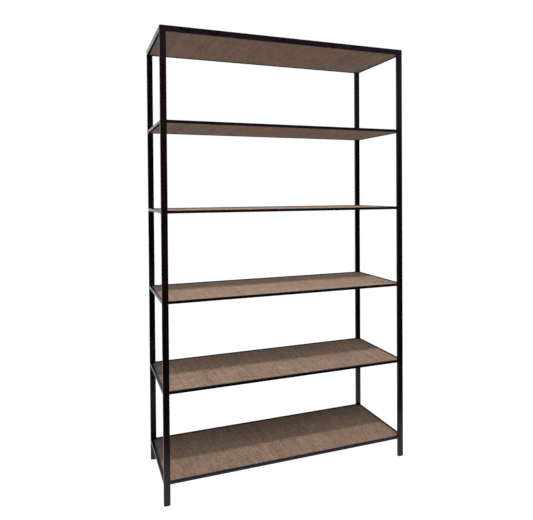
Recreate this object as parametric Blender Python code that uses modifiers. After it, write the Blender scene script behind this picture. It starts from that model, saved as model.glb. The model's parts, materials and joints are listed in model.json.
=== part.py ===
"""Tall open metal bookcase: four tube posts, a fixed top and bottom shelf, and four shelves
between them that rest on pins in rows of holes.

Metres, +Z up. The origin is on the floor under the centre, the front faces -Y, and +X is to
the right seen from the front.
"""

from math import pi

import bmesh
import bpy
from mathutils import Matrix

# Overall size
WIDTH = 1.240
DEPTH = 0.480
HEIGHT = 2.134

# Tube sections: outer size, wall, and outer edge radius
POST_WIDTH = 0.0286
POST_DEPTH = 0.0159
POST_WALL = 0.0015
POST_EDGE = 0.0020
RAIL = 0.0127
TOP_RAIL_HEIGHT = 0.0254
RAIL_WALL = 0.0012
RAIL_EDGE = 0.0016
EDGE_SEGMENTS = 2

# Levels: the bottom shelf, the middle shelves and the top, with equal openings between them
LEG_CLEAR = 0.096
MIDDLE_SHELVES = 4
OPENINGS = MIDDLE_SHELVES + 1
OPENING = (HEIGHT - LEG_CLEAR - TOP_RAIL_HEIGHT - OPENINGS * RAIL) / OPENINGS
LEVEL_STEP = OPENING + RAIL

# Panels are let in below the top of their rails
PANEL_RECESS = 0.0020
PANEL_THICKNESS = 0.0095
TOP_PANEL_THICKNESS = 0.0220

# Clearances
GAP = 0.0003  # between pieces that touch
SHELF_SIDE_GAP = 0.0008  # from a middle shelf's front and back rails to the posts
SHELF_END_GAP = 0.0015  # from its side rails to the posts, past the collars of the pins
POST_CLEARANCE = 0.0008  # from a panel's notch to the post in it

# Shelf pins and the holes they sit in, on the posts' faces behind and in front of the side rails
PIN_RADIUS = 0.0025
PIN_OUT = 0.0095
PIN_IN = 0.0080
PIN_CHAMFER = 0.0006
COLLAR_RADIUS = 0.0035
COLLAR_THICKNESS = 0.0008
HOLE_RADIUS = PIN_RADIUS + GAP
HOLES_PER_SHELF = 5
HOLE_PITCH = 0.032
ROUND_STEPS = 12

# Plastic glides in the posts' lower ends
GLIDE_HEAD = 0.0050
GLIDE_EDGE = 0.0035
GLIDE_EDGE_SEGMENTS = 3
GLIDE_PLUG = 0.0150
GLIDE_PLUG_GAP = 0.0003

SIDES = {"left": -1, "right": 1}
ENDS = {"front": -1, "back": 1}
CORNERS = [(end, side) for end in ENDS for side in SIDES]


def clear_scene():
    for thing in list(bpy.data.objects):
        bpy.data.objects.remove(thing, do_unlink=True)


def add_collection(name):
    collection = bpy.data.collections.new(name)
    bpy.context.scene.collection.children.link(collection)
    return collection


def principled(name, color, roughness, metallic):
    material = bpy.data.materials.new(name)
    material.use_nodes = True
    shader = material.node_tree.nodes["Principled BSDF"]
    shader.inputs["Base Color"].default_value = (*color, 1.0)
    shader.inputs["Roughness"].default_value = roughness
    shader.inputs["Metallic"].default_value = metallic
    return material


def black_metal():
    return principled("black_metal", (0.012, 0.010, 0.010), 0.42, 0.0)


def woven_panel():
    return principled("woven_panel", (0.30, 0.22, 0.17), 0.85, 0.0)


def black_plastic():
    return principled("black_plastic", (0.010, 0.010, 0.011), 0.55, 0.0)


def pin_steel():
    return principled("pin_steel", (0.42, 0.41, 0.40), 0.35, 1.0)


def add_object(name, mesh, location, collection, parent=None):
    """Link a mesh at a world location, which the parent empty's own location is taken from."""
    thing = bpy.data.objects.new(name, mesh)
    thing.location = location
    if parent is not None:
        thing.parent = parent
        thing.location = [world - own for world, own in zip(location, parent.location)]
    collection.objects.link(thing)
    return thing


def add_box(bm, size, center=(0, 0, 0)):
    matrix = Matrix.Translation(center) @ Matrix.Diagonal((*size, 1.0))
    bmesh.ops.create_cube(bm, size=1.0, matrix=matrix)


def mesh_from(bm, name):
    mesh = bpy.data.meshes.new(name)
    bm.to_mesh(mesh)
    bm.free()
    return mesh


def add_cutter(name, bm, collection):
    cutter = add_object(name, mesh_from(bm, name), (0, 0, 0), collection)
    cutter.hide_render = True
    cutter.display_type = "WIRE"
    return cutter


def cut(thing, cutter):
    boolean = thing.modifiers.new(cutter.name, "BOOLEAN")
    boolean.operation = "DIFFERENCE"
    boolean.object = cutter


def tube_mesh(name, size, axis, closed_top):
    """The outer skin of a box tube along an axis (0 to 2), open at its ends."""
    bm = bmesh.new()
    add_box(bm, size)
    ends = [face for face in bm.faces if abs(face.normal[axis]) > 0.5]
    if closed_top:
        ends = [face for face in ends if face.normal[axis] < 0]
    bmesh.ops.delete(bm, geom=ends, context="FACES_ONLY")
    return mesh_from(bm, name)


def add_tube(name, size, center, axis, wall, edge, collection, parent=None, closed_top=False):
    mesh = tube_mesh(name, size, axis, closed_top)
    tube = add_object(name, mesh, center, collection, parent)
    bevel = tube.modifiers.new("edges", "BEVEL")
    bevel.width = edge
    bevel.segments = EDGE_SEGMENTS
    bevel.limit_method = "ANGLE"
    solidify = tube.modifiers.new("wall", "SOLIDIFY")
    solidify.thickness = wall
    solidify.offset = -1.0
    solidify.use_even_offset = True
    return tube


def corner_xy(end, side, inset_x, inset_y):
    return SIDES[side] * (WIDTH / 2 - inset_x), ENDS[end] * (DEPTH / 2 - inset_y)


def level_bottom(level):
    """Underside of a level's rails: 0 is the bottom shelf, OPENINGS is the top."""
    return LEG_CLEAR + level * LEVEL_STEP


def middle_level(number):
    """Shelves are numbered from the top down."""
    return OPENINGS - number


def pin_height(level):
    return level_bottom(level) - GAP - PIN_RADIUS


def add_pin_holes(collection):
    """Rows of holes through the posts' walls that face each other, front to back."""
    bm = bmesh.new()
    along_y = Matrix.Rotation(pi / 2, 4, "X")
    half_row = HOLES_PER_SHELF // 2
    for end, side in CORNERS:
        x, y = corner_xy(end, side, RAIL / 2, POST_DEPTH)
        for number in range(1, MIDDLE_SHELVES + 1):
            for step in range(-half_row, half_row + 1):
                z = pin_height(middle_level(number)) + step * HOLE_PITCH
                bmesh.ops.create_cone(
                    bm,
                    cap_ends=True,
                    segments=ROUND_STEPS,
                    radius1=HOLE_RADIUS,
                    radius2=HOLE_RADIUS,
                    depth=4 * POST_WALL,
                    matrix=Matrix.Translation((x, y, z)) @ along_y,
                )
    return add_cutter("pin_holes", bm, collection)


def add_post_clearance(collection):
    """Tall boxes a little larger than the posts, which notch the panels' corners."""
    bm = bmesh.new()
    size = (POST_WIDTH + 2 * POST_CLEARANCE, POST_DEPTH + 2 * POST_CLEARANCE, 2 * HEIGHT)
    for end, side in CORNERS:
        x, y = corner_xy(end, side, POST_WIDTH / 2, POST_DEPTH / 2)
        add_box(bm, size, (x, y, HEIGHT / 2))
    return add_cutter("post_clearance", bm, collection)


def add_post(end, side, holes, material, collection):
    bottom = GLIDE_HEAD + GAP
    size = (POST_WIDTH, POST_DEPTH, HEIGHT - bottom)
    center = (*corner_xy(end, side, POST_WIDTH / 2, POST_DEPTH / 2), (HEIGHT + bottom) / 2)
    name = f"{end}_{side}_post"
    post = add_tube(name, size, center, 2, POST_WALL, POST_EDGE, collection, closed_top=True)
    cut(post, holes)
    post.data.materials.append(material)


def glide_mesh():
    """A head as wide as the post, rounded below, with a plug that fits inside the tube."""
    bm = bmesh.new()
    add_box(bm, (POST_WIDTH, POST_DEPTH, GLIDE_HEAD), (0, 0, GLIDE_HEAD / 2))
    rounded = [edge for edge in bm.edges if min(vert.co.z for vert in edge.verts) < GLIDE_HEAD / 2]
    bmesh.ops.bevel(
        bm,
        geom=rounded,
        offset=GLIDE_EDGE,
        segments=GLIDE_EDGE_SEGMENTS,
        profile=0.5,
        affect="EDGES",
    )
    top = max(bm.faces, key=lambda face: face.calc_center_median().z)
    bmesh.ops.inset_region(bm, faces=[top], thickness=POST_WALL + GLIDE_PLUG_GAP, use_even_offset=True)
    raised = bmesh.ops.extrude_face_region(bm, geom=[top])
    plug_top = [item for item in raised["geom"] if isinstance(item, bmesh.types.BMVert)]
    bmesh.ops.translate(bm, vec=(0, 0, GLIDE_PLUG), verts=plug_top)
    bmesh.ops.delete(bm, geom=[top], context="FACES_ONLY")
    return mesh_from(bm, "glide")


def add_glide(end, side, mesh, collection):
    x, y = corner_xy(end, side, POST_WIDTH / 2, POST_DEPTH / 2)
    add_object(f"{end}_{side}_glide", mesh, (x, y, 0.0), collection)


def add_panel(name, top, thickness, notches, material, collection, parent):
    inset = 2 * (RAIL + GAP)
    bm = bmesh.new()
    add_box(bm, (WIDTH - inset, DEPTH - inset, thickness))
    panel = add_object(name, mesh_from(bm, name), (0, 0, top - thickness / 2), collection, parent)
    cut(panel, notches)
    panel.data.materials.append(material)


def add_level(prefix, bottom, height, thickness, gaps, parts, parent=None):
    """Four rails between the posts, flush with their outer faces, and the panel inside them."""
    side_gap, end_gap = gaps
    collection, metal, weave, notches = parts
    middle = bottom + height / 2
    long_size = (WIDTH - 2 * (POST_WIDTH + side_gap), RAIL, height)
    short_size = (RAIL, DEPTH - 2 * (POST_DEPTH + end_gap), height)
    for end, sign in ENDS.items():
        center = (0, sign * (DEPTH - RAIL) / 2, middle)
        name = f"{prefix}_{end}_rail"
        rail = add_tube(name, long_size, center, 0, RAIL_WALL, RAIL_EDGE, collection, parent)
        rail.data.materials.append(metal)
    for side, sign in SIDES.items():
        center = (sign * (WIDTH - RAIL) / 2, 0, middle)
        name = f"{prefix}_{side}_rail"
        rail = add_tube(name, short_size, center, 1, RAIL_WALL, RAIL_EDGE, collection, parent)
        rail.data.materials.append(metal)
    top = bottom + height - PANEL_RECESS
    add_panel(f"{prefix}_panel", top, thickness, notches, weave, collection, parent)


def pin_mesh():
    """Half section of a collared pin along +Z, which the Screw modifier turns round its axis."""
    collar_low = GAP
    collar_high = GAP + COLLAR_THICKNESS
    profile = [
        (0, PIN_OUT),
        (PIN_RADIUS - PIN_CHAMFER, PIN_OUT),
        (PIN_RADIUS, PIN_OUT - PIN_CHAMFER),
        (PIN_RADIUS, collar_high),
        (COLLAR_RADIUS, collar_high),
        (COLLAR_RADIUS, collar_low),
        (PIN_RADIUS, collar_low),
        (PIN_RADIUS, -PIN_IN),
        (0, -PIN_IN),
    ]
    bm = bmesh.new()
    verts = [bm.verts.new((x, 0, z)) for x, z in profile]
    for first, second in zip(verts, verts[1:]):
        bm.edges.new((first, second))
    return mesh_from(bm, "shelf_pin")


def add_pins(number, mesh, collection):
    """Four pins under the ends of a middle shelf's side rails, pointing away from their posts."""
    z = pin_height(middle_level(number))
    for end, side in CORNERS:
        x, y = corner_xy(end, side, RAIL / 2, POST_DEPTH)
        pin = add_object(f"shelf_{number}_pin_{end}_{side}", mesh, (x, y, z), collection)
        pin.rotation_euler.x = ENDS[end] * pi / 2
        screw = pin.modifiers.new("turned", "SCREW")
        screw.steps = ROUND_STEPS
        screw.render_steps = ROUND_STEPS
        screw.use_merge_vertices = True
        screw.merge_threshold = 0.00001
        screw.use_smooth_shade = True


def add_slide(number, collection):
    """An empty that carries a middle shelf and slides up from its rest height."""
    slide = bpy.data.objects.new(f"shelf_{number}_slide", None)
    slide.location = (0, 0, level_bottom(middle_level(number)))
    collection.objects.link(slide)
    return slide


def build():
    clear_scene()
    parts = add_collection("adjustable_bookcase")
    cutters = add_collection("cutters")
    metal = black_metal()
    weave = woven_panel()
    glide = glide_mesh()
    glide.materials.append(black_plastic())
    holes = add_pin_holes(cutters)
    notches = add_post_clearance(cutters)
    shared = (parts, metal, weave, notches)

    for end, side in CORNERS:
        add_post(end, side, holes, metal, parts)
        add_glide(end, side, glide, parts)

    fixed = (GAP, GAP)
    add_level("top", level_bottom(OPENINGS), TOP_RAIL_HEIGHT, TOP_PANEL_THICKNESS, fixed, shared)
    add_level("bottom", level_bottom(0), RAIL, PANEL_THICKNESS, fixed, shared)

    loose = (SHELF_SIDE_GAP, SHELF_END_GAP)
    pin = pin_mesh()
    pin.materials.append(pin_steel())
    for number in range(1, MIDDLE_SHELVES + 1):
        slide = add_slide(number, parts)
        bottom = level_bottom(middle_level(number))
        add_level(f"shelf_{number}", bottom, RAIL, PANEL_THICKNESS, loose, shared, slide)
        add_pins(number, pin, parts)


build()
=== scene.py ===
"""Looks for the tall adjustable bookcase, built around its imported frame.

Metres, +Z up, front towards -Y. Every piece is made at rest, in the frame's own coordinates.
"""

import json
import random
from math import pi, radians

import bmesh
import bpy
import numpy as np
from mathutils import Matrix, Vector


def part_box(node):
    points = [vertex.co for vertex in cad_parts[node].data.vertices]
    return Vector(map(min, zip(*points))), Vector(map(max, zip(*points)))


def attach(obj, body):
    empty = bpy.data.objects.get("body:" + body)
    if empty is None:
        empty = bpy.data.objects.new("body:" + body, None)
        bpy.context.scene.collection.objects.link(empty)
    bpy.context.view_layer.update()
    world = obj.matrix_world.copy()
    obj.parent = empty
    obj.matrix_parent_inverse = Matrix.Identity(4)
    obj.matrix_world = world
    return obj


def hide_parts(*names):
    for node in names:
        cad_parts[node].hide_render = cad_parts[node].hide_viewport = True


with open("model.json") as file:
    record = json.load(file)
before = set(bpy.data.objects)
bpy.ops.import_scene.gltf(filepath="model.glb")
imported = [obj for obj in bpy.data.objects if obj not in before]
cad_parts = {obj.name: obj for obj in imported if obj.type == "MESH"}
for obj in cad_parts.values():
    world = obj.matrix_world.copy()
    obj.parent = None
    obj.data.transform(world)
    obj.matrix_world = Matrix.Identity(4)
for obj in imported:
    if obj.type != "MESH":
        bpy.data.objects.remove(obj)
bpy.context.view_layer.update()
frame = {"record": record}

RECORD = frame["record"]
BODY_OF = {node: body for body, nodes in RECORD["behaviour"]["bodies"].items() for node in nodes}
LEVELS = ("top", "shelf_1", "shelf_2", "shelf_3", "shelf_4", "bottom")
FIXED_LEVELS = ("top", "bottom")
ENDS = ("front", "back")
SIDES = ("left", "right")
MIDDLE_SHELVES = (1, 2, 3, 4)
MM = 0.001

# Metal tube
POST_EDGE = 2.0 * MM
POST_WALL = 1.5 * MM
RAIL_EDGE = 1.6 * MM
RAIL_WALL = 1.2 * MM
EDGE_SEGMENTS = 4
SHARP_ANGLE = radians(35)
SEAM_GAP = 0.3 * MM  # left between touching CAD pieces, closed here where a weld fills it

# Pin holes
HOLE_RADIUS = 2.8 * MM
HOLE_STEPS = 24
HOLE_PITCH = 32 * MM
HOLE_ROW = (-2, -1, 0, 1, 2)

# Shelf pins, measured from the post's face: the nose points outwards, the other end is in the tube
PIN_STEPS = 32
PIN_RADIUS = 2.5 * MM
PIN_OUTER = 9.5 * MM
PIN_INNER = 8.0 * MM
PIN_CHAMFER = 0.5 * MM
NOSE_HEIGHT = 1.2 * MM
NOSE_POINTS = 7
COLLAR_RADIUS = 3.5 * MM
COLLAR_SPAN = (0.3 * MM, 1.1 * MM)
COLLAR_ROUND = 0.15 * MM
COLLAR_FILLET = 0.05 * MM
MERGE_DISTANCE = 0.00001

# Glides
GLIDE_HEAD = 5.0 * MM
GLIDE_ROUND = 3.6 * MM
GLIDE_SEGMENTS = 6
GLIDE_SHOULDER = 1.8 * MM
GLIDE_SHARP = radians(40)

# Woven facing
STRAND_WIDTH = (2.9 * MM, 5.8 * MM)
STRAND_RELIEF = 0.34 * MM
STRAND_PRESSED = 0.16 * MM
STRAND_HEIGHTS = (0.7, 1.0)
STRAND_FULLNESS = 0.6
TONE_SPREAD = 0.18
THREAD_PITCH = 12.5 * MM
PANEL_ROUND = 1.3 * MM
BORDER_STEPS = (0.0, 0.15, 0.45, 1.0)  # these three are shares of the rounding
BORDER_CLEAR = 1.2
NOTCH_STEP = 0.6
LINE_GAP = 0.3 * MM
NOTCH_CLEARANCE = 0.8 * MM
PANEL_SHARP = radians(60)
PANEL_SEED = 40

# Materials: colours are linear, and noise scales are per metre
USUAL_NOISE = (0.3, 0.7)
COAT_COLORS = ((0.0026, 0.0012, 0.0016), (0.0048, 0.0024, 0.0031))
COAT_ROUGHNESS = (0.24, 0.31)
COAT_CLOUD_SCALE = 9.0
COAT_PEEL_SCALE = 900.0
COAT_SWELL_SCALE = 260.0
COAT_SWELL = 1.6
COAT_BUMP = (0.05, 0.0006)
STREAK_SCALE = (60.0, 22.0, 60.0)
GRAIN_SCALE = (190.0, 80.0, 190.0)
FIBRE_SCALE = (420.0, 40.0, 420.0)
HAIR_SCALE = (1300.0, 70.0, 1300.0)
PATCH_SCALE = (9.0, 6.0, 9.0)
DRIFT_SCALE = (62.0, 30.0, 62.0)
# scale of the noise that breaks up the painted shade in the seams between strands
SEAM_SHADE_BREAK_SCALE = (110.0, 48.0, 110.0)
TONE_SHARE = 0.13
STREAK_SHARE = 0.23
GRAIN_SHARE = 0.64
TAUPES = (
    (0.36, (0.160, 0.109, 0.079)),
    (0.46, (0.252, 0.178, 0.132)),
    (0.54, (0.329, 0.238, 0.180)),
    (0.66, (0.445, 0.331, 0.261)),
)
DRIFT_SHARE = 0.72
HUE_SHARE = 0.28
TINTS = (
    (0.30, (0.94, 1.00, 0.94)),
    (0.44, (0.98, 1.00, 0.98)),
    (0.56, (1.04, 0.99, 1.00)),
    (0.70, (1.10, 0.97, 1.01)),
)
PATCHES = ((0.91, 0.92, 0.93), (1.09, 1.08, 1.07))
FIBRES = ((0.28, (0.82, 0.80, 0.78)), (0.6, (1.09, 1.09, 1.09)))
HAIRS = ((0.32, (0.84, 0.83, 0.82)), (0.62, (1.12, 1.12, 1.12)))
# Painted shade: darker colour in the valleys between strands, where the relief's shade falls
SEAM_SHADE = ((0.0, (0.45, 0.42, 0.40)), (0.16, (0.84, 0.83, 0.82)), (0.5, (1.05, 1.05, 1.05)))
SEAM_SHADE_NOISE = (0.40, 0.60)
SEAM_SHADE_STRENGTH = (0.25, 1.0)
THREAD_COLOR = (0.40, 0.32, 0.26, 1.0)
THREAD_SHOWS = 0.22
THREAD_EDGE = (0.022, 0.050)  # in thread pitches from the thread's centre
THREAD_WOBBLE = 0.0018
THREAD_WOBBLE_SCALE = 30.0
THREAD_HEIGHT = 0.7
WEAVE_ROUGHNESS = (0.92, 0.70)
WEAVE_SPECULAR = 0.25
WEAVE_SHEEN = 0.06
WEAVE_SHEEN_ROUGHNESS = 0.5
GRAIN_BUMP = (0.6, 0.0014)
FIBRE_BUMP = (0.55, 0.0005)
NYLON_COLORS = ((0.010, 0.010, 0.011), (0.016, 0.016, 0.018))
NYLON_ROUGHNESS = (0.50, 0.62)
NYLON_GRAIN_SCALE = 1600.0
NYLON_CLOUD_SCALE = 40.0
NYLON_BUMP = (0.2, 0.0003)
ZINC_COLORS = ((0.50, 0.49, 0.47), (0.66, 0.66, 0.65))
ZINC_ROUGHNESS = (0.28, 0.45)
ZINC_TURNING_SCALE = (40.0, 2600.0, 40.0)
ZINC_DULL_SCALE = 320.0
ZINC_BUMP = (0.12, 0.0002)

# Studio: lights are (name, place, target, size, power, colour)
WHITE = (1, 1, 1)
WARM_WHITE = (1.0, 0.97, 0.94)
KEY_LIGHT = ("key", (-0.25, -1.50, 2.95), (0, 0, 2.2), (0.24, 0.24), 61.0, (1.0, 0.95, 0.90))
FILL_LIGHT = ("fill", (0, -1.9, 2.4), (0, 0, 1.8), (1.6, 0.8), 31.0, WARM_WHITE)
ROOM_COLOR = (1, 0.98, 0.96)
ROOM_LIGHT = 0.25
ROOM_GLOSS = 0.08
BACKDROP = 1.0
FLOOR_SIZE = (60, 60)
FLOOR_LIGHT = 0.435
FLOOR_SEEN = 0.985
FLOOR_PAPER = 0.3
FLOOR_GLOSS = 0.75
FLOOR_GLOSS_COLOR = (0.98, 0.89, 0.98)
FLOOR_GLOSS_FRONT = (-0.95, -0.50)
FLOOR_GLOSS_BACK = (2.6, 1.8)

# Upright cards that only reflections see: (name, size, place, material, colour, strength)
UPRIGHT = (pi / 2, 0, 0)
CARDS = (
    ("dark_side", (14, 6), (0, -3.2, 3.05), "dark_room", (0, 0, 0), 0.0),
    ("left_card", (0.8, 3.8), (-1.0, 3.4, 1.9), "bright_paper", (1.0, 1.0, 0.96), 1.3),
    ("rear_strip", (4.4, 0.22), (1.6, 3.4, 1.78), "bright_strip", (0.94, 0.96, 1.0), 1.4),
    ("window", (1.4, 1.2), (2.6, -3.0, 2.8), "pale_window", (0.6, 0.55, 1.0), 0.42),
)

# Camera
CAMERA_PLACE = (-0.9615, -2.6914, 1.3919)
CAMERA_TURN = (pi / 2 - 0.01576, 0.00632, -0.38102)
CAMERA_LENS = 36.9
CAMERA_SENSOR_HEIGHT = 35.122
CAMERA_SHIFT = (-0.05709, -0.11254)
OTHER_VIEWS_WIDTH = 31.0


# ---------------------------------------------------------------- pieces


def add_object(name, mesh):
    thing = bpy.data.objects.new(name, mesh)
    bpy.context.scene.collection.objects.link(thing)
    return thing


def mesh_from(bm, name):
    mesh = bpy.data.meshes.new(name)
    bm.to_mesh(mesh)
    bm.free()
    return mesh


def apply_modifiers(thing):
    evaluated = thing.evaluated_get(bpy.context.evaluated_depsgraph_get())
    mesh = bpy.data.meshes.new_from_object(evaluated)
    thing.modifiers.clear()
    thing.data = mesh


def shade_clean(thing, angle=SHARP_ANGLE):
    """Smooth shading that keeps flat faces flat and hard edges hard."""
    apply_modifiers(thing)
    thing.data.shade_smooth()
    thing.data.set_sharp_from_angle(angle=angle)
    weighted = thing.modifiers.new("normals", "WEIGHTED_NORMAL")
    weighted.keep_sharp = True
    apply_modifiers(thing)


def install(piece, node, material):
    """The piece stands in for a CAD node: the node is hidden, the piece rides with the node's body and takes
    the given material.
    """
    piece.data.materials.clear()
    piece.data.materials.append(material)
    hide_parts(node)
    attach(piece, BODY_OF[node])


def tube(name, low, high, axis, edge, wall, closed_top=False):
    """A box tube with rounded edges, open at both ends or closed at the top."""
    size = high - low
    bm = bmesh.new()
    matrix = Matrix.Translation((low + high) / 2) @ Matrix.Diagonal((*size, 1.0))
    bmesh.ops.create_cube(bm, size=1.0, matrix=matrix)
    ends = [face for face in bm.faces if abs(face.normal[axis]) > 0.5]
    if closed_top:
        ends = [face for face in ends if face.normal[axis] < 0]
    bmesh.ops.delete(bm, geom=ends, context="FACES_ONLY")
    piece = add_object(name, mesh_from(bm, name))
    bevel = piece.modifiers.new("edges", "BEVEL")
    bevel.width = edge
    bevel.segments = EDGE_SEGMENTS
    bevel.limit_method = "ANGLE"
    solidify = piece.modifiers.new("wall", "SOLIDIFY")
    solidify.thickness = wall
    solidify.offset = -1.0
    solidify.use_even_offset = True
    return piece


def pin_hole_cutter(end, side):
    """Short cylinders through the post's wall, in rows centred on the pins."""
    bm = bmesh.new()
    post_low, post_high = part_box(f"{end}_{side}_post")
    face_y = post_high.y if end == "front" else post_low.y
    for number in MIDDLE_SHELVES:
        low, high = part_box(f"shelf_{number}_pin_{end}_{side}")
        middle = (low + high) / 2
        for step in HOLE_ROW:
            place = Matrix.Translation((middle.x, face_y, middle.z + step * HOLE_PITCH))
            bmesh.ops.create_cone(
                bm,
                cap_ends=True,
                segments=HOLE_STEPS,
                radius1=HOLE_RADIUS,
                radius2=HOLE_RADIUS,
                depth=4 * POST_WALL,
                matrix=place @ Matrix.Rotation(pi / 2, 4, "X"),
            )
    return add_object("pin_hole_cutter", mesh_from(bm, "pin_hole_cutter"))


def make_post(end, side, material):
    node = f"{end}_{side}_post"
    low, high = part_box(node)
    post = tube(f"{node}_tube", low, high, 2, POST_EDGE, POST_WALL, closed_top=True)
    cutter = pin_hole_cutter(end, side)
    holes = post.modifiers.new("holes", "BOOLEAN")
    holes.operation = "DIFFERENCE"
    holes.object = cutter
    shade_clean(post)
    bpy.data.objects.remove(cutter)
    install(post, node, material)


def make_rail(level, place, material):
    node = f"{level}_{place}_rail"
    low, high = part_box(node)
    axis = 0 if place in ENDS else 1
    if level in FIXED_LEVELS:
        low[axis] -= SEAM_GAP
        high[axis] += SEAM_GAP
    rail = tube(f"{node}_tube", low, high, axis, RAIL_EDGE, RAIL_WALL)
    shade_clean(rail)
    install(rail, node, material)


def turned(name, profile, steps):
    """A closed turned shape along +Z from a half section of (radius, height) points, top first."""
    bm = bmesh.new()
    verts = [bm.verts.new((radius, 0, height)) for radius, height in profile]
    for first, second in zip(verts, verts[1:]):
        bm.edges.new((first, second))
    piece = add_object(name, mesh_from(bm, name))
    screw = piece.modifiers.new("turned", "SCREW")
    screw.steps = steps
    screw.render_steps = steps
    screw.use_merge_vertices = True
    screw.merge_threshold = MERGE_DISTANCE
    return piece


def make_pin(number, end, side, material):
    """A collared dowel: domed nose, a collar with rounded rims, and a chamfered inner end."""
    node = f"shelf_{number}_pin_{end}_{side}"
    low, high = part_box(node)
    middle = (low + high) / 2
    turns = np.linspace(0, pi / 2, NOSE_POINTS)
    nose = [(PIN_RADIUS * np.sin(turn), PIN_OUTER - NOSE_HEIGHT * (1 - np.cos(turn))) for turn in turns]
    collar_low, collar_high = COLLAR_SPAN
    profile = nose + [
        (PIN_RADIUS, collar_high + COLLAR_FILLET),
        (COLLAR_RADIUS - COLLAR_ROUND, collar_high),
        (COLLAR_RADIUS, collar_high - COLLAR_ROUND),
        (COLLAR_RADIUS, collar_low + COLLAR_ROUND),
        (COLLAR_RADIUS - COLLAR_ROUND, collar_low),
        (PIN_RADIUS, collar_low),
        (PIN_RADIUS, -PIN_INNER + PIN_CHAMFER),
        (PIN_RADIUS - PIN_CHAMFER, -PIN_INNER),
        (0, -PIN_INNER),
    ]
    pin = turned(f"{node}_dowel", profile, PIN_STEPS)
    sign = 1 if end == "front" else -1
    origin_y = low.y + PIN_INNER if end == "front" else high.y - PIN_INNER
    shade_clean(pin)
    place = Matrix.Translation((middle.x, origin_y, middle.z))
    pin.data.transform(place @ Matrix.Rotation(-sign * pi / 2, 4, "X"))
    install(pin, node, material)


def make_glide(end, side, material):
    """A moulded foot as wide as the post, rounded below, with a plug up the tube."""
    node = f"{end}_{side}_glide"
    low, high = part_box(node)
    bm = bmesh.new()
    center = Vector(((low.x + high.x) / 2, (low.y + high.y) / 2, GLIDE_HEAD / 2))
    size = (high.x - low.x, high.y - low.y, GLIDE_HEAD)
    bmesh.ops.create_cube(bm, size=1.0, matrix=Matrix.Translation(center) @ Matrix.Diagonal((*size, 1.0)))
    lower = [edge for edge in bm.edges if min(vert.co.z for vert in edge.verts) < GLIDE_HEAD / 2]
    bmesh.ops.bevel(
        bm, geom=lower, offset=GLIDE_ROUND, segments=GLIDE_SEGMENTS, profile=0.5, affect="EDGES"
    )
    top = max(bm.faces, key=lambda face: face.calc_center_median().z)
    bmesh.ops.inset_region(bm, faces=[top], thickness=GLIDE_SHOULDER, use_even_offset=True)
    raised = bmesh.ops.extrude_face_region(bm, geom=[top])
    plug_top = [item for item in raised["geom"] if isinstance(item, bmesh.types.BMVert)]
    bmesh.ops.translate(bm, vec=(0, 0, high.z - GLIDE_HEAD), verts=plug_top)
    bmesh.ops.delete(bm, geom=[top], context="FACES_ONLY")
    glide = add_object(f"{node}_foot", mesh_from(bm, node))
    shade_clean(glide, GLIDE_SHARP)
    install(glide, node, material)


# ---------------------------------------------------------------- woven panels


def strand_edges(low, high, rng):
    """Edges of strands of uneven width, laid side by side from low to high."""
    edges = [low]
    while edges[-1] < high:
        edges.append(edges[-1] + rng.uniform(*STRAND_WIDTH))
    edges = np.array(edges)
    return low + (edges - low) * (high - low) / (edges[-1] - low)


def with_border(lines, low, high, notch):
    """Adds the lines that the rounded border and the corner notches need."""
    inset = np.array(BORDER_STEPS) * PANEL_ROUND
    clear = BORDER_CLEAR * PANEL_ROUND
    keep = [x for x in lines if low + clear < x < high - clear]
    special = list(low + inset) + list(high - inset) + [notch, -notch]
    step = NOTCH_STEP * PANEL_ROUND
    special += [notch - step, -notch + step]
    keep = [x for x in keep if min(abs(x - s) for s in special) > LINE_GAP]
    return np.array(sorted(set(special + keep)))


def border_distance(x, y, half_x, half_y, notch_x, notch_y):
    """How far a point is inside the outline of the notched panel."""
    to_edge = np.minimum(half_x - abs(x), half_y - abs(y))
    to_notch = np.hypot(np.maximum(notch_x - abs(x), 0), np.maximum(notch_y - abs(y), 0))
    return np.minimum(to_edge, to_notch)


def weave_columns(low, high, notch, rng):
    """Grid lines across the strands, each with the height of its place on a strand."""
    edges = strand_edges(low, high, rng)
    crests = (edges[1:] + edges[:-1]) / 2
    lines = with_border(np.concatenate([edges, crests]), low, high, notch)
    strand = np.clip(np.searchsorted(edges, lines, side="right") - 1, 0, len(edges) - 2)
    width = edges[strand + 1] - edges[strand]
    across = (lines - edges[strand]) / width
    height = np.sin(pi * np.clip(across, 0, 1)) ** STRAND_FULLNESS
    middles = (lines[1:] + lines[:-1]) / 2
    face_strand = np.clip(np.searchsorted(edges, middles, side="right") - 1, 0, len(edges) - 2)
    return lines, height, strand, face_strand, len(edges) - 1


def weave_rows(low, high, notch):
    count = int(round((high - low) / THREAD_PITCH))
    lines = np.linspace(low, high, 2 * count + 1)
    return with_border(lines, low, high, notch)


def face_heights(xs, ys, column, strand, half, notch, rng):
    """Relief above the panel's flat face, for every grid point, and the drop of its border."""
    grid_x, grid_y = np.meshgrid(xs, ys)
    inside = border_distance(grid_x, grid_y, *half, *notch)
    phase = np.cos(2 * pi * grid_y / THREAD_PITCH)
    over = np.where(strand % 2 == 0, 1.0, -1.0)[None, :]
    lift = 1.0 - STRAND_PRESSED / STRAND_RELIEF * np.clip(phase, 0, 1) * (0.5 + 0.5 * over)
    own = np.array([rng.uniform(*STRAND_HEIGHTS) for _ in range(int(strand.max()) + 1)])
    relief = STRAND_RELIEF * column[None, :] * lift * own[strand][None, :]
    relief *= np.clip(inside / (2 * PANEL_ROUND), 0, 1)
    gone = np.clip(PANEL_ROUND - inside, 0, PANEL_ROUND)
    drop = PANEL_ROUND - np.sqrt(PANEL_ROUND**2 - gone**2)
    return relief, drop


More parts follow.
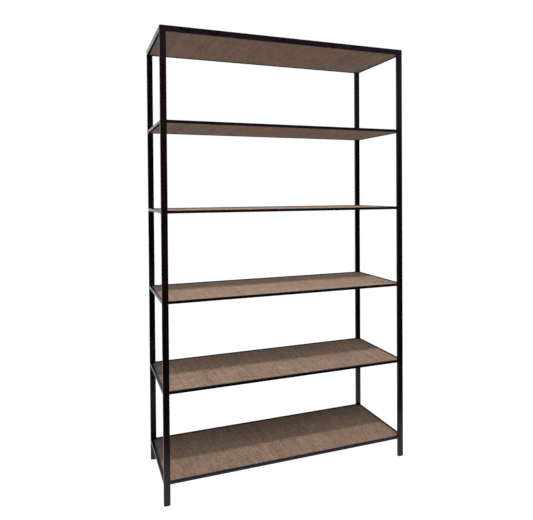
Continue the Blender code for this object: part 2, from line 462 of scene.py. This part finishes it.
def panel_mesh(name, low, high, seed):
    """A notched board with woven relief on both faces and a rounded, wrapped border."""
    rng = random.Random(seed)
    half = ((high.x - low.x) / 2, (high.y - low.y) / 2)
    post_low, post_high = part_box("front_right_post")
    notch = (post_low.x - NOTCH_CLEARANCE, -post_high.y - NOTCH_CLEARANCE)
    xs, column, strand, face_strand, strands = weave_columns(-half[0], half[0], notch[0], rng)
    ys = weave_rows(-half[1], half[1], notch[1])
    relief_a, drop = face_heights(xs, ys, column, strand, half, notch, rng)
    relief_b, _ = face_heights(xs, ys, column, strand, half, notch, rng)
    top = high.z - STRAND_RELIEF + relief_a - drop
    under = low.z + STRAND_RELIEF - relief_b + drop
    count_x, count_y = len(xs), len(ys)
    grid_x, grid_y = np.meshgrid(xs, ys)
    verts = np.concatenate([
        np.stack([grid_x, grid_y, top], -1).reshape(-1, 3),
        np.stack([grid_x, grid_y, under], -1).reshape(-1, 3),
    ])
    cell_x = (xs[1:] + xs[:-1]) / 2
    cell_y = (ys[1:] + ys[:-1]) / 2
    center_x, center_y = np.meshgrid(cell_x, cell_y)
    kept = ~((abs(center_x) > notch[0]) & (abs(center_y) > notch[1]))
    row, col = np.nonzero(kept)
    corner = row * count_x + col
    faces_top = np.stack([corner, corner + 1, corner + count_x + 1, corner + count_x], -1)
    offset = count_x * count_y
    faces_under = faces_top[:, ::-1] + offset
    walls = border_walls(kept, count_x, offset)
    faces = np.concatenate([faces_top, faces_under, walls])
    mesh = mesh_from_arrays(name, verts, faces)
    crest = np.tile(column, 2 * count_y)[np.unique(faces)]
    add_values(mesh, "strand_crest", "POINT", crest)
    tones = np.array([rng.gauss(0, 1) for _ in range(strands)])
    hues = np.array([rng.random() for _ in range(strands)])
    own = np.concatenate([face_strand[col], face_strand[col], np.zeros(len(walls), int)])
    add_values(mesh, "strand_tone", "FACE", np.clip(0.5 + TONE_SPREAD * tones, 0, 1)[own])
    add_values(mesh, "strand_hue", "FACE", hues[own])
    return mesh


def border_walls(kept, count_x, offset):
    """Quads that join the top grid to the under grid round the outline of the kept cells."""
    padded = np.pad(kept, 1)
    rows, cols = kept.shape
    walls = []
    for row_step, col_step, first, second in (
        (-1, 0, (0, 0), (0, 1)),
        (0, 1, (0, 1), (1, 1)),
        (1, 0, (1, 1), (1, 0)),
        (0, -1, (1, 0), (0, 0)),
    ):
        beyond = padded[1 + row_step : 1 + row_step + rows, 1 + col_step : 1 + col_step + cols]
        row, col = np.nonzero(kept & ~beyond)
        start = (row + first[0]) * count_x + col + first[1]
        end = (row + second[0]) * count_x + col + second[1]
        walls.append(np.stack([end, start, start + offset, end + offset], -1))
    return np.concatenate(walls)


def mesh_from_arrays(name, verts, faces):
    """A mesh of quads, without the grid points that no face uses."""
    used = np.unique(faces)
    index = np.zeros(len(verts), int)
    index[used] = np.arange(len(used))
    mesh = bpy.data.meshes.new(name)
    mesh.from_pydata(verts[used].tolist(), [], index[faces].tolist())
    mesh.update()
    return mesh


def add_values(mesh, name, domain, values):
    layer = mesh.attributes.new(name, "FLOAT", domain)
    layer.data.foreach_set("value", values.astype(np.float32))


def make_panel(level, seed, material):
    node = f"{level}_panel"
    low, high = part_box(node)
    panel = add_object(f"{node}_weave", panel_mesh(node, low, high, seed))
    panel.data.shade_smooth()
    panel.data.set_sharp_from_angle(angle=PANEL_SHARP)
    install(panel, node, material)


# ---------------------------------------------------------------- materials


class Graph:
    """Short names for building a material's nodes."""

    def __init__(self, name):
        self.material = bpy.data.materials.new(name)
        self.material.use_nodes = True
        self.tree = self.material.node_tree
        self.shader = self.tree.nodes["Principled BSDF"]
        self.place = self.add("ShaderNodeTexCoord").outputs["Object"]

    def add(self, kind, **settings):
        node = self.tree.nodes.new(kind)
        for key, value in settings.items():
            setattr(node, key, value)
        return node

    def feed(self, value, socket):
        if isinstance(value, bpy.types.NodeSocket):
            self.tree.links.new(value, socket)
        else:
            socket.default_value = value

    def math(self, operation, first, second=0.0, third=0.0):
        node = self.add("ShaderNodeMath", operation=operation)
        for value, socket in zip((first, second, third), node.inputs):
            self.feed(value, socket)
        return node.outputs[0]

    def stretch(self, scale):
        node = self.add("ShaderNodeMapping")
        self.feed(self.place, node.inputs["Vector"])
        node.inputs["Scale"].default_value = scale
        return node.outputs[0]

    def noise(self, vector, scale, detail=3.0, roughness=0.5):
        node = self.add("ShaderNodeTexNoise")
        self.feed(vector, node.inputs["Vector"])
        node.inputs["Scale"].default_value = scale
        node.inputs["Detail"].default_value = detail
        node.inputs["Roughness"].default_value = roughness
        return node.outputs["Fac"]

    def ramp(self, value, stops):
        node = self.add("ShaderNodeValToRGB")
        self.feed(value, node.inputs["Fac"])
        while len(node.color_ramp.elements) < len(stops):
            node.color_ramp.elements.new(0.5)
        for element, (position, color) in zip(node.color_ramp.elements, stops):
            element.position = position
            element.color = (*color, 1.0)
        return node.outputs["Color"]

    def mix(self, factor, first, second, blend="MIX"):
        """Mixes colours, which a Mix node takes in sockets 6 and 7 and gives from output 2."""
        node = self.add("ShaderNodeMix", data_type="RGBA", blend_type=blend)
        self.feed(factor, node.inputs["Factor"])
        self.feed(first, node.inputs[6])
        self.feed(second, node.inputs[7])
        return node.outputs[2]

    def remap(self, value, low, high, new_low, new_high):
        node = self.add("ShaderNodeMapRange")
        items = {"Value": value, "From Min": low, "From Max": high, "To Min": new_low, "To Max": new_high}
        for key, item in items.items():
            self.feed(item, node.inputs[key])
        return node.outputs[0]

    def spread(self, noise, low, high):
        """A value from low to high over the range that a noise mostly has."""
        return self.remap(noise, *USUAL_NOISE, low, high)

    def shades(self, noise, dark, bright):
        """A colour from dark to bright over the range that a noise mostly has."""
        return self.ramp(noise, [(USUAL_NOISE[0], dark), (USUAL_NOISE[1], bright)])

    def multiply(self, color, factor):
        return self.mix(1.0, color, factor, "MULTIPLY")

    def attribute(self, name):
        node = self.add("ShaderNodeAttribute", attribute_name=name)
        return node.outputs["Fac"]

    def bump(self, height, strength, distance, normal=None):
        node = self.add("ShaderNodeBump")
        self.feed(height, node.inputs["Height"])
        node.inputs["Strength"].default_value = strength
        node.inputs["Distance"].default_value = distance
        if normal is not None:
            self.feed(normal, node.inputs["Normal"])
        return node.outputs[0]

    def set(self, **values):
        """Feeds the shader's sockets, named with _ for a space."""
        for key, value in values.items():
            self.feed(value, self.shader.inputs[key.replace("_", " ")])


def powder_coat():
    """Satin black powder coat: fine orange peel, faint clouding and a brown-violet cast."""
    graph = Graph("powder_coat")
    cloud = graph.noise(graph.place, COAT_CLOUD_SCALE, 3.0)
    peel = graph.noise(graph.place, COAT_PEEL_SCALE, 2.0, 0.6)
    swell = graph.noise(graph.place, COAT_SWELL_SCALE, 2.0, 0.5)
    graph.set(Base_Color=graph.shades(cloud, *COAT_COLORS))
    graph.set(Roughness=graph.spread(cloud, *COAT_ROUGHNESS))
    height = graph.math("ADD", peel, graph.math("MULTIPLY", swell, COAT_SWELL))
    graph.set(Normal=graph.bump(height, *COAT_BUMP))
    return graph.material


def cross_thread(graph):
    """1 on the fine threads that cross the strands at every pitch, 0 beside them."""
    split = graph.add("ShaderNodeSeparateXYZ")
    graph.feed(graph.place, split.inputs[0])
    wobble = graph.math("MULTIPLY", graph.noise(graph.place, THREAD_WOBBLE_SCALE, 2.0), THREAD_WOBBLE)
    pitches = graph.math("DIVIDE", graph.math("ADD", split.outputs["Y"], wobble), THREAD_PITCH)
    fraction = graph.math("FRACT", graph.math("ADD", pitches, 0.5))
    return graph.remap(graph.math("ABSOLUTE", graph.math("SUBTRACT", fraction, 0.5)), *THREAD_EDGE, 1.0, 0.0)


def strand_color(graph, grain, fibre, thread):
    """Mixed taupes with painted shade in the seams between strands, and paler on the cross threads."""
    streak = graph.noise(graph.stretch(STREAK_SCALE), 1.0, 3.0, 0.55)
    patch = graph.noise(graph.stretch(PATCH_SCALE), 1.0, 3.0, 0.55)
    drift = graph.noise(graph.stretch(DRIFT_SCALE), 1.0, 2.0, 0.5)
    hair = graph.noise(graph.stretch(HAIR_SCALE), 1.0, 3.0, 0.6)
    shade_breaks = graph.noise(graph.stretch(SEAM_SHADE_BREAK_SCALE), 1.0, 2.0, 0.5)
    mixed = graph.math("MULTIPLY", graph.attribute("strand_tone"), TONE_SHARE)
    mixed = graph.math("MULTIPLY_ADD", streak, STREAK_SHARE, mixed)
    mixed = graph.math("MULTIPLY_ADD", grain, GRAIN_SHARE, mixed)
    hue = graph.math("MULTIPLY", graph.attribute("strand_hue"), HUE_SHARE)
    tint = graph.ramp(graph.math("MULTIPLY_ADD", drift, DRIFT_SHARE, hue), TINTS)
    color = graph.multiply(graph.ramp(mixed, TAUPES), tint)
    color = graph.multiply(color, graph.shades(patch, *PATCHES))
    color = graph.multiply(color, graph.ramp(fibre, FIBRES))
    color = graph.multiply(color, graph.ramp(hair, HAIRS))
    # painted shade in the valleys between strands, broken up by noise
    seam_shaded = graph.multiply(color, graph.ramp(graph.attribute("strand_crest"), SEAM_SHADE))
    color = graph.mix(graph.remap(shade_breaks, *SEAM_SHADE_NOISE, *SEAM_SHADE_STRENGTH), color, seam_shaded)
    return graph.mix(graph.math("MULTIPLY", thread, THREAD_SHOWS), color, THREAD_COLOR)


def grasscloth():
    """Twisted-grass facing: strands front to back in mixed taupes, tied by fine cross threads."""
    graph = Graph("grasscloth")
    fibre = graph.noise(graph.stretch(FIBRE_SCALE), 1.0, 4.0, 0.62)
    grain = graph.noise(graph.stretch(GRAIN_SCALE), 1.0, 4.0, 0.66)
    thread = cross_thread(graph)
    graph.set(Base_Color=strand_color(graph, grain, fibre, thread))
    graph.set(Roughness=graph.spread(fibre, *WEAVE_ROUGHNESS))
    graph.set(Specular_IOR_Level=WEAVE_SPECULAR)
    graph.set(Sheen_Weight=WEAVE_SHEEN, Sheen_Roughness=WEAVE_SHEEN_ROUGHNESS)
    height = graph.math("ADD", fibre, graph.math("MULTIPLY", thread, THREAD_HEIGHT))
    graph.set(Normal=graph.bump(height, *FIBRE_BUMP, graph.bump(grain, *GRAIN_BUMP)))
    return graph.material


def moulded_plastic():
    """Black nylon with a fine spark-eroded texture."""
    graph = Graph("moulded_plastic")
    grain = graph.noise(graph.place, NYLON_GRAIN_SCALE, 2.0, 0.6)
    cloud = graph.noise(graph.place, NYLON_CLOUD_SCALE, 2.0)
    graph.set(Base_Color=graph.shades(cloud, *NYLON_COLORS))
    graph.set(Roughness=graph.spread(cloud, *NYLON_ROUGHNESS))
    graph.set(Normal=graph.bump(grain, *NYLON_BUMP))
    return graph.material


def plated_steel():
    """Zinc plate with turning marks and small dull patches."""
    graph = Graph("plated_steel")
    turning = graph.noise(graph.stretch(ZINC_TURNING_SCALE), 1.0, 2.0, 0.6)
    dull = graph.noise(graph.place, ZINC_DULL_SCALE, 3.0)
    graph.set(Base_Color=graph.shades(dull, *ZINC_COLORS))
    graph.set(Metallic=1.0)
    graph.set(Roughness=graph.spread(dull, *ZINC_ROUGHNESS))
    graph.set(Normal=graph.bump(turning, *ZINC_BUMP))
    return graph.material


# ---------------------------------------------------------------- stage


def glow(tree, color, strength):
    node = tree.nodes.new("ShaderNodeEmission")
    node.inputs["Color"].default_value = (*color, 1.0)
    node.inputs["Strength"].default_value = strength
    return node


def stage_material(name):
    material = bpy.data.materials.new(name)
    material.use_nodes = True
    material.node_tree.nodes.clear()
    return material, material.node_tree, material.node_tree.nodes.new("ShaderNodeOutputMaterial")


def switch(tree, factor, when_off, when_on):
    node = tree.nodes.new("ShaderNodeMixShader")
    tree.links.new(factor, node.inputs["Fac"])
    tree.links.new(when_off, node.inputs[1])
    tree.links.new(when_on, node.inputs[2])
    return node.outputs[0]


def card_material(name, color, strength):
    material, tree, output = stage_material(name)
    tree.links.new(glow(tree, color, strength).outputs[0], output.inputs["Surface"])
    return material


def smooth_step(tree, value, dark_at, bright_at):
    node = tree.nodes.new("ShaderNodeMapRange")
    node.interpolation_type = "SMOOTHSTEP"
    tree.links.new(value, node.inputs["Value"])
    node.inputs["From Min"].default_value = dark_at
    node.inputs["From Max"].default_value = bright_at
    return node.outputs[0]


def floor_material():
    """A white sweep: even to the eye, softer as a light, and in reflections bright only near the feet."""
    material, tree, output = stage_material("white_sweep")
    paper = tree.nodes.new("ShaderNodeBsdfDiffuse")
    paper.inputs["Color"].default_value = (FLOOR_PAPER,) * 3 + (1.0,)
    seen = tree.nodes.new("ShaderNodeAddShader")
    tree.links.new(glow(tree, WHITE, FLOOR_SEEN).outputs[0], seen.inputs[0])
    tree.links.new(paper.outputs[0], seen.inputs[1])
    place = tree.nodes.new("ShaderNodeNewGeometry")
    split = tree.nodes.new("ShaderNodeSeparateXYZ")
    tree.links.new(place.outputs["Position"], split.inputs[0])
    front = smooth_step(tree, split.outputs["Y"], *FLOOR_GLOSS_FRONT)
    back = smooth_step(tree, split.outputs["Y"], *FLOOR_GLOSS_BACK)
    mirrored = glow(tree, FLOOR_GLOSS_COLOR, 1.0)
    bright = tree.nodes.new("ShaderNodeMath")
    bright.operation = "MULTIPLY"
    tree.links.new(front, bright.inputs[0])
    tree.links.new(back, bright.inputs[1])
    scaled = tree.nodes.new("ShaderNodeMath")
    scaled.operation = "MULTIPLY"
    tree.links.new(bright.outputs[0], scaled.inputs[0])
    scaled.inputs[1].default_value = FLOOR_GLOSS
    tree.links.new(scaled.outputs[0], mirrored.inputs["Strength"])
    path = tree.nodes.new("ShaderNodeLightPath")
    cast = glow(tree, WARM_WHITE, FLOOR_LIGHT).outputs[0]
    unseen = switch(tree, path.outputs["Is Glossy Ray"], cast, mirrored.outputs[0])
    final = switch(tree, path.outputs["Is Camera Ray"], unseen, seen.outputs[0])
    tree.links.new(final, output.inputs["Surface"])
    return material


def plane(name, size, material, location, rotation=(0, 0, 0)):
    bpy.ops.mesh.primitive_plane_add(size=1.0, location=location, rotation=rotation)
    thing = bpy.context.active_object
    thing.name = name
    thing.scale = (*size, 1.0)
    thing.data.materials.append(material)
    return thing


def only_reflected(thing):
    thing.visible_camera = False
    thing.visible_diffuse = False
    thing.visible_shadow = False
    thing.visible_transmission = False


def aim(thing, target):
    direction = Vector(target) - thing.location
    thing.rotation_euler = direction.to_track_quat("-Z", "Y").to_euler()


def area_light(name, place, target, size, power, color):
    """A soft light that reflections don't show."""
    data = bpy.data.lights.new(name, "AREA")
    data.shape = "RECTANGLE"
    data.size, data.size_y = size
    data.energy = power
    data.color = color
    light = bpy.data.objects.new(name, data)
    light.location = place
    light.visible_glossy = False
    bpy.context.scene.collection.objects.link(light)
    aim(light, target)


def set_world():
    """White behind everything the camera sees, a dim even room as a light, and a darker one mirrored."""
    world = bpy.data.worlds.new("studio")
    bpy.context.scene.world = world
    world.use_nodes = True
    tree = world.node_tree
    tree.nodes.clear()
    path = tree.nodes.new("ShaderNodeLightPath")
    parts = []
    for color, strength in ((ROOM_COLOR, ROOM_LIGHT), (WHITE, ROOM_GLOSS), (WHITE, BACKDROP)):
        node = tree.nodes.new("ShaderNodeBackground")
        node.inputs["Color"].default_value = (*color, 1.0)
        node.inputs["Strength"].default_value = strength
        parts.append(node.outputs[0])
    unseen = switch(tree, path.outputs["Is Glossy Ray"], parts[0], parts[1])
    final = switch(tree, path.outputs["Is Camera Ray"], unseen, parts[2])
    output = tree.nodes.new("ShaderNodeOutputWorld")
    tree.links.new(final, output.inputs["Surface"])


def set_stage():
    set_world()
    plane("floor", FLOOR_SIZE, floor_material(), (0, 0, 0))
    for name, size, place, material, color, strength in CARDS:
        card = plane(name, size, card_material(material, color, strength), place, UPRIGHT)
        only_reflected(card)
    area_light(*KEY_LIGHT)
    area_light(*FILL_LIGHT)


def set_camera():
    """The view of the left front corner from eye height, at its real distance.

    The sensor's height sets the field of view.
    """
    data = bpy.data.cameras.new("camera")
    data.sensor_fit = "VERTICAL"
    data.sensor_height = CAMERA_SENSOR_HEIGHT
    data.sensor_width = OTHER_VIEWS_WIDTH
    data.lens = CAMERA_LENS
    data.shift_x, data.shift_y = CAMERA_SHIFT
    camera = bpy.data.objects.new("camera", data)
    camera.location = CAMERA_PLACE
    camera.rotation_euler = CAMERA_TURN
    bpy.context.scene.collection.objects.link(camera)
    bpy.context.scene.camera = camera
    bpy.context.scene.view_settings.view_transform = "Standard"


# ---------------------------------------------------------------- build


def build():
    metal = powder_coat()
    weave = grasscloth()
    plastic = moulded_plastic()
    steel = plated_steel()
    for end in ENDS:
        for side in SIDES:
            make_post(end, side, metal)
            make_glide(end, side, plastic)
            for number in MIDDLE_SHELVES:
                make_pin(number, end, side, steel)
    for seed, level in enumerate(LEVELS):
        for place in ENDS + SIDES:
            make_rail(level, place, metal)
        make_panel(level, PANEL_SEED + seed, weave)
    set_stage()
    set_camera()


build()
